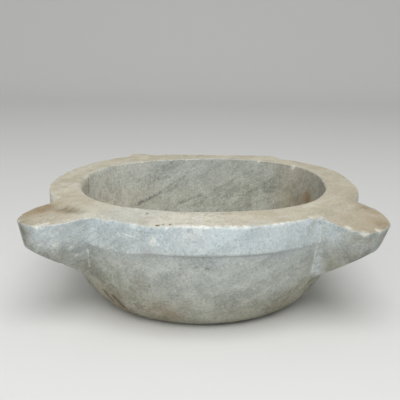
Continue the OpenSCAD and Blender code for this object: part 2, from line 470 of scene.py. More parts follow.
def stone_noise(points, cell, seed):
    """Soft noise from -1 to 1: hashed values at the corners of a cubic lattice, blended between them."""
    q = np.asarray(points, float) / cell
    base = np.floor(q).astype(np.int64)
    f = smooth(q - base)
    total = np.zeros(q.shape[:-1])
    for corner in np.ndindex(2, 2, 2):
        i = base + np.array(corner)
        h = i[..., 0] * 374761393 + i[..., 1] * 668265263 + i[..., 2] * 2147483647 + seed * 1274126177
        h = (h ^ (h >> 13)) * 1103515245 & 0xFFFFFFFF
        h = (h ^ (h >> 16)) * 2246822519 & 0xFFFFFFFF
        value = (h ^ (h >> 15)) % 65536 / 32767.5 - 1.0
        total += value * np.prod(np.where(np.array(corner) == 1, f, 1.0 - f), axis=-1)
    return total


def layered_noise(points, layers):
    """Sum of layers of noise, each (size, height, seed)."""
    return sum(height * stone_noise(points, size, seed) for size, height, seed in layers)


def turn_from(angle, centre):
    """Angle in degrees from a centre direction, wrapped to -180..180."""
    return (angle - centre + 180.0) % 360.0 - 180.0


def bumps(angle, places):
    """Sum of bell curves round the stone, each (direction in degrees, half width in degrees, height)."""
    return sum(height * bell(turn_from(angle, turn), half) for turn, half, height in places)


def soften(values):
    """Rounds the corners of a closed curve of radii by averaging each with its neighbours."""
    kernel = np.hanning(2 * PLAN_SOFTENING + 1)
    wrapped = np.concatenate([values[-PLAN_SOFTENING:], values, values[:PLAN_SOFTENING]])
    return np.convolve(wrapped, kernel / kernel.sum(), mode="valid")


def swell(angle, swells):
    """Sum of low swells, each the square of a cosine that reaches 0 at its half width."""
    total = np.zeros(len(angle))
    for turn, half, height in swells:
        share = np.clip(turn_from(angle, turn) / half, -1.0, 1.0)
        total += height * np.cos(share * math.pi / 2) ** 2
    return total


def rim_plan():
    """Radius of the rim at each plan angle: a circle with low cosine swells, or the back's straight edges
    where these lie further out."""
    a = np.radians(PLAN_ANGLES)
    circle = RIM_R + swell(PLAN_ANGLES, RIM_SWELLS)
    straight = BACK_Y / np.maximum(np.sin(a), 1e-3)
    side = BACK_HALF_W / np.maximum(np.abs(np.cos(a)), 1e-3)
    back = np.where(np.sin(a) > 0, np.minimum(straight, side), 0.0)
    inside_back = np.where(np.sin(a) > 0, straight, NOWHERE)
    return soften(np.minimum(np.maximum(circle, back), inside_back))


def lug_plan():
    """How far out the lugs reach at each plan angle: straight runs between the corners of each outline."""
    reach = np.zeros(len(PLAN_ANGLES))
    for lug in LUGS:
        degrees, out = np.array(lug["outline"], float).T
        reach += np.interp(turn_from(PLAN_ANGLES, lug["turn"]), degrees, out * MM, left=0.0, right=0.0)
    return soften(RIM_R + reach)


def root_drop(lug, angle):
    """How far a lug's top lies under the rim at its root, from one end of its outline to the other."""
    degrees = [corner[0] for corner in lug["outline"]]
    return np.interp(turn_from(angle, lug["turn"]), (degrees[0], degrees[-1]), lug["root_drops"])


def ring(radius, angle, z):
    """A closed curve of points at a radius and height for each angle in degrees."""
    a = np.radians(angle)
    return np.stack(np.broadcast_arrays(radius * np.cos(a), radius * np.sin(a), z), axis=-1)


def oval(shrink, angle, z):
    """The mouth's oval, drawn in by shrink all round, at height z."""
    a = np.radians(angle)
    x = (MOUTH_HALF_W - shrink) * np.cos(a)
    y = MOUTH_BACK + (MOUTH_HALF_D - shrink) * np.sin(a)
    return np.stack(np.broadcast_arrays(x, y, z), axis=-1)


class Outline:
    """The stone's key curves, with one value for each column: rim, lugs, heights of edges and wear."""

    def __init__(self):
        self.rim_plan = rim_plan()
        self.out_plan = np.maximum(self.rim_plan, lug_plan())
        self.angle = self.column_angles()
        self.rim = self.at_columns(self.rim_plan)
        reach = self.at_columns(self.out_plan) - self.rim
        self.reach = np.where(reach > LEAST_REACH, reach, 0.0)
        self.out = self.rim + self.reach
        self.lug = ramp(self.reach, 0.0, LUG_EASE)
        offs = np.array([turn_from(self.angle, lug["turn"]) for lug in LUGS])
        self.owner = np.abs(offs).argmin(axis=0)
        ends = np.array([(lug["outline"][0][0], lug["outline"][-1][0]) for lug in LUGS])
        beyond = np.maximum(ends[:, :1] - offs, offs - ends[:, 1:]).min(axis=0)
        self.near_lug = smooth(1 - beyond / ROOT_EASE)
        drops = np.array([root_drop(lug, self.angle) for lug in LUGS])
        self.root_drop = np.take_along_axis(drops, self.owner[None], axis=0)[0]
        self.set_heights()

    def at_columns(self, plan):
        """A plan's radius at each column's angle."""
        return np.interp(self.angle, PLAN_ANGLES, plan, period=360.0)

    def lug_value(self, key):
        """One of the lugs' values, taken from the lug that is nearest to each column."""
        return np.array([lug[key] for lug in LUGS])[self.owner]

    def column_angles(self):
        """Even steps along the outline seen from above, closer together at the front, which is where the
        angle's sine is under FRONT_END."""
        edge = ring(self.out_plan, PLAN_ANGLES, 0.0)
        step = np.linalg.norm(np.roll(edge, -1, axis=0) - edge, axis=-1)
        front = np.sin(np.radians(PLAN_ANGLES)) < FRONT_END
        front_weight = FRONT_SHARE / step[front].sum()
        rear_weight = (1 - FRONT_SHARE) / step[~front].sum()
        along = np.concatenate([[0.0], np.cumsum(step * np.where(front, front_weight, rear_weight))])
        return np.interp(np.arange(COLUMNS) / COLUMNS, along, np.append(PLAN_ANGLES, 180.0))

    def set_heights(self):
        """Heights of the rim's edge and of the lugs' edges, and the rounding of worn edges."""
        edge = ring(self.rim, self.angle, HEIGHT)
        front = smooth(0.5 - edge[:, 1] / RIM_R)
        self.step_in = (STEP_IN + FRONT_STEP_IN * front) * self.near_lug
        uneven = FRONT_DROP + layered_noise(edge, FRONT_WOBBLE)
        self.rim_z = HEIGHT - RIM_DROP - uneven * front - bumps(self.angle, RIM_DIPS)
        ragged = layered_noise(edge, RAGGED_EDGE) * (0.2 + 0.8 * front)
        self.wear = np.maximum(EDGE_WEAR + bumps(self.angle, WORN_EDGES) + ragged, LEAST_WEAR)
        fall = (self.lug_value("tip_drop") - self.root_drop) * self.reach / LUG_OUT
        plain = 1 - self.near_lug
        self.root_z = self.rim_z - self.near_lug * self.root_drop - plain * PLAIN_ROOT_DROP
        self.edge_z = self.root_z - self.near_lug * fall - plain * PLAIN_EDGE_DROP


def lug_underside(line, radius):
    """Height of the lugs' lower surface at each radius of each column. It is the higher, rounded over, of a
    keel that rises outwards and of flanks that fall steeply inwards from the lug's outline."""
    height = np.full(radius.shape, NOWHERE)
    points = ring(radius, line.angle[None, :], 0.0)[..., :2]
    outline = ring(line.out_plan, PLAN_ANGLES, 0.0)[:, :2]
    reach = line.out_plan - line.rim_plan
    for k, lug in enumerate(LUGS):
        columns = np.flatnonzero((line.owner == k) & (line.reach > 0))
        near = (np.abs(turn_from(PLAN_ANGLES, lug["turn"])) < LUG_SPAN) & (reach > LEAST_REACH)
        edge = outline[near]
        along = np.concatenate([[0.0], np.cumsum(np.linalg.norm(np.diff(edge, axis=0), axis=-1))])
        even = np.linspace(0.0, along[-1], EDGE_POINTS)
        gaps = [points[:, columns, i, None] - np.interp(even, along, edge[:, i]) for i in (0, 1)]
        distance = np.hypot(*gaps)
        inside = distance.min(axis=-1)
        closest = distance.argmin(axis=-1)
        share = np.interp(even, along, reach[near])[closest] / LUG_OUT
        slope = FLANK_SLOPE + (lug["tip_slope"] - FLANK_SLOPE) * ramp(share, TIP_START, TIP_STOP)
        root = root_drop(lug, np.interp(even, along, PLAN_ANGLES[near])[closest])
        drop = root + (lug["tip_drop"] - root) * share
        flank = HEIGHT - drop - LUG_FACE - slope * inside
        keel = HEIGHT - KEEL_DROP + lug["keel_rise"] * (radius[:, columns] - KEEL_R)
        height[:, columns] = soft_max(keel, flank, lug["keel_blend"])
    return height


def even_rows(length, channels, rows):
    """Reads rows at even steps along each column of a fine run of points. All columns are read by one
    interpolation, each shifted past the one before it."""
    shift = 2.0 * np.arange(length.shape[1])
    key = (length / length[-1] + shift).T.ravel()
    want = (np.arange(rows)[:, None] / rows + shift).T.ravel()
    return [np.interp(want, key, c.T.ravel()).reshape(-1, rows).T for c in channels]


def outside(line):
    """The outside of each column, from the foot's edge to just under the top edge. The belly is a
    superellipse that flares out again towards the band. The band juts out over it, and a lug's underside
    takes over where it hangs lower. Returns the rows, and the curve that they lead up to."""
    belly_n, step_n, lug_n, face_n = SAMPLES
    t = np.linspace(0.0, math.pi / 2, belly_n)[:, None] + 0.0 * line.angle
    power = 2.0 / BELLY_FULLNESS
    belly_z = BELLY_H * (1.0 - np.cos(t) ** power)
    belly_r = FOOT_R + (BELLY_R - BELLY_FLARE - FOOT_R) * np.sin(t) ** power
    belly_r = belly_r + BELLY_FLARE * (belly_z / BELLY_H) ** FLARE_POWER
    step_r = BELLY_R + (line.rim - BELLY_R) * np.linspace(0.0, 1.0, step_n)[:, None]
    lug_r = line.rim + line.reach * np.linspace(0.0, 1.0, lug_n)[:, None]
    r = np.concatenate([belly_r, step_r, lug_r])
    bowl = np.concatenate([belly_z, np.full(step_r.shape, BELLY_H), np.full(lug_r.shape, NOWHERE)])
    under_band = np.where(r > line.rim + 1e-7, NOWHERE, BELLY_H - UNDER_BAND_SLOPE * (line.rim - r))
    under_lug = lug_underside(line, r)
    rounding = STEP_ROUNDING + bumps(line.angle, WORN_STEP)
    low = soft_min(soft_min(bowl, under_band, rounding), under_lug, STEP_ROUNDING)
    low[0] = 0.0

    top = np.maximum(line.edge_z - LUG_FACE, low[-1])
    face_z = low[-1] + (top - low[-1]) * np.linspace(0.0, 1.0, face_n)[:, None]
    r = np.concatenate([r, line.out + np.zeros(face_z.shape)])
    z = np.concatenate([low, face_z])
    weight = np.repeat(CLOSENESS, SAMPLES)[1:, None]
    step = np.hypot(np.diff(r, axis=0), np.diff(z, axis=0)) * weight
    length = np.concatenate([np.zeros((1, COLUMNS)), np.cumsum(step, axis=0)])
    r_rows, z_rows = even_rows(length, (r, z), OUTSIDE_ROWS)
    return foot_shift(ring(r_rows, line.angle, z_rows)), ring(line.out, line.angle, top)


def foot_shift(points):
    """Moves points sideways, from nothing at the band to the whole shift at the foot."""
    share = np.clip(1.0 - points[..., 2:] / BELLY_H, 0.0, 1.0)
    return points + share * np.array((FOOT_SHIFT, 0.0, 0.0))


def straight_rows(p, q, count):
    """Rows on straight lines from curve p towards curve q, without q itself."""
    t = np.arange(count)[:, None, None] / count
    return p + (q - p) * t


def rounded_rows(p, corner, q, count):
    """Rows on a quadratic curve from p to q, bent towards the corner, without q itself."""
    t = np.arange(count)[:, None, None] / count
    return (1 - t) ** 2 * p + 2 * t * (1 - t) * corner + t ** 2 * q


def cut_back(corner, other, length):
    """The point a given length from the corner towards another curve, at most 0.45 of the way."""
    gap = np.linalg.norm(other - corner, axis=-1)
    share = np.minimum(length / np.maximum(gap, 1e-9), 0.45)
    return corner + (other - corner) * share[:, None]


def edged_run(stations):
    """Zones of rows along a run of curves. Each station is (zone name, curve, edge rounding in metres,
    rows round the edge, rows on to the next curve). Corners are rounded by quadratic curves."""
    zones = []
    start = stations[0][1]
    for k, (name, curve, _, _, rows_on) in enumerate(stations[:-1]):
        edge_name, corner, rounding, edge_rows, _ = stations[k + 1]
        last = k + 2 == len(stations)
        stop = corner if last else cut_back(corner, curve, rounding)
        zones.append((name, straight_rows(start, stop, rows_on)))
        if not last:
            after = cut_back(corner, stations[k + 2][1], rounding)
            zones.append((edge_name + " edge", rounded_rows(stop, corner, after, edge_rows)))
            start = after
    return zones


def stone_zones(line):
    """The stone as named zones of rows, from the socket's roof out under the foot, up the outside, over the
    rim and down the well to the middle of its floor."""
    angle = line.angle
    none = np.zeros(COLUMNS)
    roof = np.zeros((COLUMNS, 3)) + (0.0, 0.0, SOCKET_DEPTH)
    zones = edged_run([
        ("socket roof", roof, none, 0, 3),
        ("socket wall", ring(SOCKET_TOP_R, angle, SOCKET_DEPTH), none + 1 * MM, 2, 4),
        ("foot", ring(SOCKET_MOUTH_R, angle, 0.0), none + 1.5 * MM, 2, 8),
        ("foot rim", foot_shift(ring(FOOT_R, angle, 0.0)), none, 0, 0),
    ])
    rows, face_top = outside(line)
    zones.append(("outside", rows))

    depth = HEIGHT - FLOOR_T
    lean = WELL_LEAN / depth
    mouth_z = HEIGHT - MOUTH_DROP - layered_noise(oval(0.0, angle, HEIGHT), MOUTH_WOBBLE)
    near_side = smooth(0.5 - np.sin(np.radians(angle)))
    mouth_wear = MOUTH_WEAR + NEAR_MOUTH_WEAR * near_side + bumps(angle, LEFT_MOUTH_WEAR)
    mouth = swell(angle, MOUTH_SWELLS)
    corner_top = lean * (depth - WELL_CORNER_R) - SWELL_AT_WALL_FOOT * mouth
    zones += edged_run([
        ("face", face_top, none, 0, 2),
        ("ledge", ring(line.out, angle, line.edge_z), 0.9 * line.wear, 4, 14),
        ("step", ring(line.rim, angle, line.root_z), (1 + 5 * line.near_lug) * MM, 2, 2),
        ("rim top", ring(line.rim - line.step_in, angle, line.rim_z), line.wear, 5, 22),
        ("wall", oval(-mouth, angle, mouth_z), mouth_wear, 4, 26),
        ("wall foot", oval(corner_top, angle, FLOOR_T + WELL_CORNER_R), none, 0, 0),
    ])
    turn = (np.arange(CORNER_ROWS) / CORNER_ROWS)[:, None] * (math.pi / 2)
    inset = corner_top + WELL_CORNER_R * (1 - np.cos(turn))
    zones.append(("corner", oval(inset, angle, FLOOR_T + WELL_CORNER_R * (1 - np.sin(turn)))))
    floor_edge = oval(corner_top + WELL_CORNER_R, angle, FLOOR_T)
    floor_middle = np.zeros((COLUMNS, 3)) + (0.0, MOUTH_BACK, FLOOR_T)
    zones.append(("floor", straight_rows(floor_edge, floor_middle, 7)))
    zones.append(("floor middle", floor_middle[None]))
    return zones


def grid_normals(grid):
    """Unit normals of a grid of points that closes round its columns: the cross product of its slopes.
    The first row, the socket's roof, faces down, and the last, the well's floor, faces up."""
    across = np.roll(grid, -1, axis=1) - np.roll(grid, 1, axis=1)
    up = np.gradient(grid, axis=0)
    n = np.cross(across, up)
    n /= np.maximum(np.linalg.norm(n, axis=-1, keepdims=True), 1e-12)
    n[0] = (0.0, 0.0, -1.0)
    n[-1] = (0.0, 0.0, 1.0)
    return n


class Stone:
    """The stone's grid of points, carved step by step, and where it is freshly chipped or pitted."""

    def __init__(self, line):
        self.line = line
        zones = stone_zones(line)
        self.grid = np.concatenate([rows for _, rows in zones])
        self.zone = np.concatenate([np.repeat(name, len(rows)) for name, rows in zones])
        self.fresh = np.zeros(self.grid.shape[:2])
        self.pitted = np.zeros(self.grid.shape[:2])

    def rows_in(self, *names):
        """1 on the rows of the named zones and 0 elsewhere, as a column that broadcasts over the grid."""
        return np.isin(self.zone, names).astype(float)[:, None]

    def work_by_hand(self):
        """Moves the surface in and out by layers of noise, the uneven finish of hand-cut stone. The foot
        stays flat, and flat tops move less than the rest."""
        share = sum(amount * self.rows_in(*names) for amount, names in RELIEF_SHARES)
        share = share * ramp(self.grid[..., 2], 0.0, FOOT_FADE)
        pecked = stone_noise(self.grid, PECK_SIZE, PECK_SEED) * bumps(self.line.angle, PECKED_STRETCH)
        band = ramp(self.grid[..., 2], BELLY_H, BELLY_H + PECK_FADE) * self.rows_in("outside", "face")
        height = layered_noise(self.grid, RELIEF_LAYERS) * share + pecked * band
        self.grid = self.grid + grid_normals(self.grid) * height[..., None]

    def chip(self):
        """Takes chips and pits out: inside a rough ball round each place, the surface sinks along the
        normal there by the depth times (1 - (distance / radius)^2)^1.5."""
        normals = grid_normals(self.grid)
        ragged = 1.0 + layered_noise(self.grid, RAGGED_CHIPS)
        before = self.grid.copy()
        for place, radius, depth, kind in HAND_CHIPS + self.edge_chips(before):
            gap = np.linalg.norm(before - np.array(place) * MM, axis=-1)
            normal = normals.reshape(-1, 3)[gap.argmin()]
            cut = np.clip(1.0 - (gap / (radius * MM * ragged)) ** 2, 0.0, 1.0) ** 1.5
            self.grid -= normal * (depth * MM * cut)[..., None]
            mark = {"fresh": self.fresh, "pit": self.pitted}.get(kind)
            if mark is not None:
                np.maximum(mark, cut, out=mark)

    def edge_chips(self, points):
        """Seeded small chips along the worn edges, as (place in mm, radius, depth, kind)."""
        rng = np.random.default_rng(CHIP_SEED)
        chips = []
        for zone, count, on_lugs, least, most in EDGE_CHIPS:
            rows = np.flatnonzero(self.zone == zone)
            columns = np.flatnonzero((self.line.lug > 0.9) == on_lugs)
            places = points[rows[len(rows) // 2], rng.choice(columns, count)] / MM
            radii = rng.uniform(least, most, count)
            depths = radii * rng.uniform(*CHIP_DEPTHS, count)
            kinds = rng.choice(("fresh", "old"), count)
            chips += list(zip(places, radii, depths, kinds))
        return tuple(chips)

    def keep_in_box(self):
        """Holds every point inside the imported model's box."""
        self.grid = np.clip(self.grid, np.array(cad_low), np.array(cad_high))


class Marks:
    """What the stone's finish reads: for each mark, a value from 0 to 1 at each point."""

    def __init__(self, stone):
        self.stone = stone
        self.line = stone.line
        self.rows_in = stone.rows_in
        self.x, self.y, self.z = np.moveaxis(stone.grid, -1, 0)
        self.r = np.hypot(self.x, self.y)
        self.patchy = 0.5 + 0.5 * stone_noise(stone.grid, 38 * MM, 41)
        well = self.rows_in("wall", "corner", "floor", "floor middle")
        self.inside = well + 0.5 * self.rows_in("wall edge")
        # Where light is painted on the well's left wall
        self.lit_left_wall = self.facing(170, 48) * self.inside
        self.left_lip = self.facing(179, 9) * ramp(self.z, 140 * MM, 155 * MM) * self.inside
        self.worn_sides = self.facing(-163, 11) + self.facing(-12, 11)
        self.on_lug = ramp(self.r, self.line.rim + 4 * MM, self.line.rim + 14 * MM)
        self.top = self.tops()

    def facing(self, turn, half):
        """A bell curve round the stone: 1 in a direction, fading over a half width, both in degrees."""
        return bell(turn_from(self.line.angle, turn), half)

    def spots(self, spots):
        """Soft round patches: the strongest of bell curves, each (x, y, z, radius, strength), in mm."""
        total = np.zeros(self.r.shape)
        for *place, radius, strength in spots:
            gap = np.linalg.norm(self.stone.grid - np.array(place) * MM, axis=-1)
            total = np.maximum(total, strength * bell(gap, radius * MM))
        return total

    def tops(self):
        """The tops of the rim and the lugs, the edges beside them, and the worn sides of the band."""
        facing_up = grid_normals(self.stone.grid)[..., 2]
        high = ramp(self.z, 0.86 * HEIGHT, 0.92 * HEIGHT)
        top = ramp(facing_up, 0.62, 0.92) * (1 - self.inside) * high
        lug_step = self.rows_in("step", "step edge", "rim top edge") * ramp(self.line.near_lug, 0.7, 1.0)
        near_side = np.maximum(smooth(0.5 - self.y / RIM_R), self.facing(-179, 30))
        mouth_edge = self.rows_in("wall edge") * (0.3 + 0.6 * near_side)
        top = np.maximum(np.maximum(top, lug_step), mouth_edge)
        top = top * (1 - 0.3 * self.facing(-117, 13))
        on_band = (1 - self.inside) * ramp(self.z, BELLY_H, BELLY_H + 12 * MM)
        top = np.maximum(top, 0.9 * self.worn_sides * on_band)
        return np.maximum(top, 0.9 * self.left_lip)

    def patina_and_warm_light(self):
        """Warm tone on the tops and the well's left wall: patina on the tops with painted warm light
        falling on them, and painted light on the well's left wall.
        """
        wall = self.lit_left_wall * (0.42 + 0.4 * ramp(self.z, 155 * MM, 115 * MM))
        return np.maximum(self.top, wall)

    def olive_and_shade(self):
        """Olive tone from under the band down to the foot, darker towards the foot, and down the well's
        wall, darker deeper down. Painted shade on the right front lug's flank, on the dull patches and on
        the well's right wall.
        """
        x, z = self.x, self.z
        # Painted shade on the right front lug's flank, which is turned away from the light
        shaded_right_lug = self.facing(-38, 11)
        rise = 30 + 32 * shaded_right_lug + 9 * self.facing(-120, 14) - 14 * self.facing(-143, 9)
        start = BELLY_H + rise * MM
        low = ramp(z, start, start - 62 * MM) * (0.5 + 0.5 * (1 - z / BELLY_H))
        low = low + 0.22 * (1 - self.facing(-92, 34)) * ramp(z, 80 * MM, 30 * MM)
        low = low + 0.25 * shaded_right_lug * ramp(z, 150 * MM, 100 * MM)
        low = low + 0.2 * self.facing(-126, 16) * ramp(z, 140 * MM, 100 * MM)
        low = np.maximum(low, self.spots(DULL_AND_SHADE_SPOTS)) * (1 - self.spots(CLEAN_AND_LIT_SPOTS))
        deep = 0.25 + 0.45 * ramp(z, HEIGHT - 15 * MM, HEIGHT - 85 * MM)
        # Painted shade on the well's right wall, which faces away from the light
        right_wall_shade = 0.3 * ramp(x, -20 * MM, 70 * MM) + 0.2 * ramp(x, 90 * MM, 180 * MM)
        deep = deep + right_wall_shade * (0.6 + 0.4 * ramp(z, 95 * MM, 135 * MM))
        return np.where(self.inside > 0, deep * self.inside, low)

    def brown(self):
        """Brown stains in patches, on the lugs' tops, low on the belly and at the left side of the mouth,
        and brown painted shade over the well's right wall.
        """
        brown = self.spots(BROWN_SPOTS) * (0.45 + 0.55 * self.patchy)
        brown = brown + self.top * self.on_lug * (0.15 + 0.25 * self.patchy)
        brown = brown + 0.18 * self.patchy * ramp(self.z, 85 * MM, 15 * MM) * self.rows_in("outside")
        # Brown painted shade over the well's right wall
        brown = brown + 0.26 * ramp(self.x, 100 * MM, 180 * MM) * self.inside
        brown = brown + 0.14 * self.top * (1 - self.on_lug) * ramp(self.x, 150 * MM, 210 * MM)
        return brown + 0.12 * self.left_lip

    def grime_and_shade(self):
        """Dark grime in patches and pits, some patches being painted shade, along the step under the band,
        where it is painted shade and dirt, and painted shade on the well's far wall.
        """
        line = self.line
        # Painted shade, with some dirt, in the crease under the band's step
        step = bell(self.z - BELLY_H + 3 * MM, 3 * MM) * (1 - line.lug) * self.rows_in("outside")
        step = step * ramp(self.r, RIM_R - 2 * MM, RIM_R - 5 * MM)
        step = step * smooth(turn_from(line.angle, -116) / 14)
        step = step * (1 - 0.5 * smooth(turn_from(line.angle, -78) / 18))
        # Painted shade on the upper right of the well's far wall
        far_wall_shade = ramp(self.x, -70 * MM, 10 * MM) * ramp(self.z, 100 * MM, 140 * MM) * self.inside
        far_wall_shade = far_wall_shade * (1 - 0.35 * ramp(self.x, 60 * MM, 120 * MM))
        grime_and_shade = np.maximum(self.spots(GRIME_AND_SHADE_SPOTS), self.stone.pitted)
        return np.maximum(grime_and_shade, np.maximum(0.35 * step, 0.16 * far_wall_shade))

    def pale(self):
        """Pale wear and painted light: pale patches, some of them painted light; pale edges, where the
        rim's top edge is wear with a painted highlight; paler at the front of the rim's top; painted light
        on the well's left wall; and a painted highlight along the rim's front edge.
        """
        line = self.line
        bare = (1 - line.near_lug) * (1 - self.facing(-110, 14)) * (1 - 0.6 * self.facing(-71, 6))
        # The rim's top edge: pale wear with a painted highlight
        edges = 0.7 * self.rows_in("rim top edge") * bare
        edges = edges + self.rows_in("wall edge") * (0.1 + 0.6 * self.facing(105, 38))
        edges = edges + self.rows_in("ledge edge") * line.lug * (0.45 - 0.35 * self.facing(-43, 9))
        pale = np.maximum(edges * (0.4 + 0.6 * self.patchy), 0.45 * self.top * self.facing(-96, 18))
        dulled = np.minimum(0.9 * self.worn_sides, 1) * (1 - self.inside)
        # Painted light on the well's left wall
        pale = np.maximum(pale, 0.5 * self.lit_left_wall) * (1 - dulled) * (1 - self.left_lip)
        # A painted highlight along the rim's front edge
        front_edge = ramp(self.r, line.rim - 9 * MM, line.rim - 4 * MM) * self.facing(-87, 13)
        front_edge = front_edge * ramp(self.z, HEIGHT - 4 * MM, HEIGHT - 1.5 * MM)
        return np.maximum(np.maximum(pale, front_edge), self.spots(PALE_SPOTS))

    def fresh(self):
        """Fresh chips, dulled on the worn sides and on the worn stretch of the front."""
        worn = self.worn_sides + self.facing(-118, 10)
        return self.stone.fresh * (1 - np.minimum(0.9 * worn, 1))

    def all(self):
        """Every mark, by the name that the finish reads it by."""
        kinds = (self.patina_and_warm_light, self.olive_and_shade, self.brown, self.grime_and_shade, self.pale, self.fresh)
        marks = {kind.__name__: kind() for kind in kinds} | {"inside": self.inside}
        return {name: np.broadcast_to(value, self.r.shape) for name, value in marks.items()}


def set_marks(mesh, marks):
    """Stores each mark on the mesh's points, one value at each pole."""
    for name, value in marks.items():
        attribute = mesh.attributes.new(name, "FLOAT", "POINT")
        values = np.concatenate([value[:1, 0], value[1:-1].ravel(), value[-1:, 0]])
        attribute.data.foreach_set("value", values.astype(np.float32))


def mesh_from(name, points, faces):
    """A smooth-shaded mesh from points and faces."""
    mesh = bpy.data.meshes.new(name)
    mesh.from_pydata(points.tolist(), [], faces)
    mesh.polygons.foreach_set("use_smooth", np.ones(len(mesh.polygons), bool))
    mesh.update()
    return mesh


def grid_faces(index):
    """Quads between the neighbours in a grid of point numbers."""
    quads = np.stack([index[:-1, :-1], index[:-1, 1:], index[1:, 1:], index[1:, :-1]], axis=-1)
    return quads.reshape(-1, 4).tolist()


def closed_mesh(name, grid):
    """A mesh from a grid of points that closes round its columns, whose first and last rows are poles."""
    rows, columns = grid.shape[:2]
    points = np.concatenate([grid[:1, 0], grid[1:-1].reshape(-1, 3), grid[-1:, 0]])
    index = 1 + np.arange((rows - 2) * columns).reshape(rows - 2, columns)
    index = np.pad(index, ((0, 0), (0, 1)), mode="wrap")
    first_fan = np.stack([np.zeros(columns, int), index[0, 1:], index[0, :-1]], axis=-1)
    last_fan = np.stack([index[-1, :-1], index[-1, 1:], np.full(columns, len(points) - 1)], axis=-1)
    return mesh_from(name, points, grid_faces(index) + first_fan.tolist() + last_fan.tolist())


def ring_mesh(name, grid):
    """A mesh from a grid of points that closes both ways, as a ring does."""
    index = np.arange(grid[..., 0].size).reshape(grid.shape[:2])
    return mesh_from(name, grid.reshape(-1, 3), grid_faces(np.pad(index, (0, 1), mode="wrap")))


def lead_ring():
    """The lead in the socket: a section of straight runs turned round the dowel's axis, with the dents of a
    caulking tool in its face."""
    bore_r = frame["record"]["mounts"][0]["dims"]["r_mm"] * MM
    top_r = sleeve_high.x
    top_z = sleeve_high.z
    foot_r = SOCKET_MOUTH_R - (SOCKET_TOP_R - top_r)
    corners = np.array([(foot_r, 0.0), (top_r, top_z), (bore_r, top_z), (bore_r, 0.0), (foot_r, 0.0)])
    sides = zip(corners, np.diff(corners, axis=0), LEAD_ROWS)
    section = np.concatenate([start + run * np.arange(n)[:, None] / n for start, run, n in sides])
    angle = np.arange(LEAD_COLUMNS) * 360.0 / LEAD_COLUMNS
    grid = ring(section[:, :1], angle, section[:, 1:])
    face = (section[:, 1] < 0.5 * MM).astype(float)[:, None]
    dents = 0.5 + 0.5 * np.cos(np.radians(angle * LEAD_DENTS)) * stone_noise(grid, 9 * MM, 51)
    grid[..., 2] += face * dents * LEAD_DENT_DEPTH
    return ring_mesh("lead_sleeve_ring", grid)


def tint(red, green, blue):
    """A colour given as 0 to 255 on screen, as the linear colour that shaders take."""
    c = np.array((red, green, blue)) / 255.0
    linear = np.where(c <= 0.04045, c / 12.92, ((c + 0.055) / 1.055) ** 2.4)
    return (*linear.tolist(), 1.0)


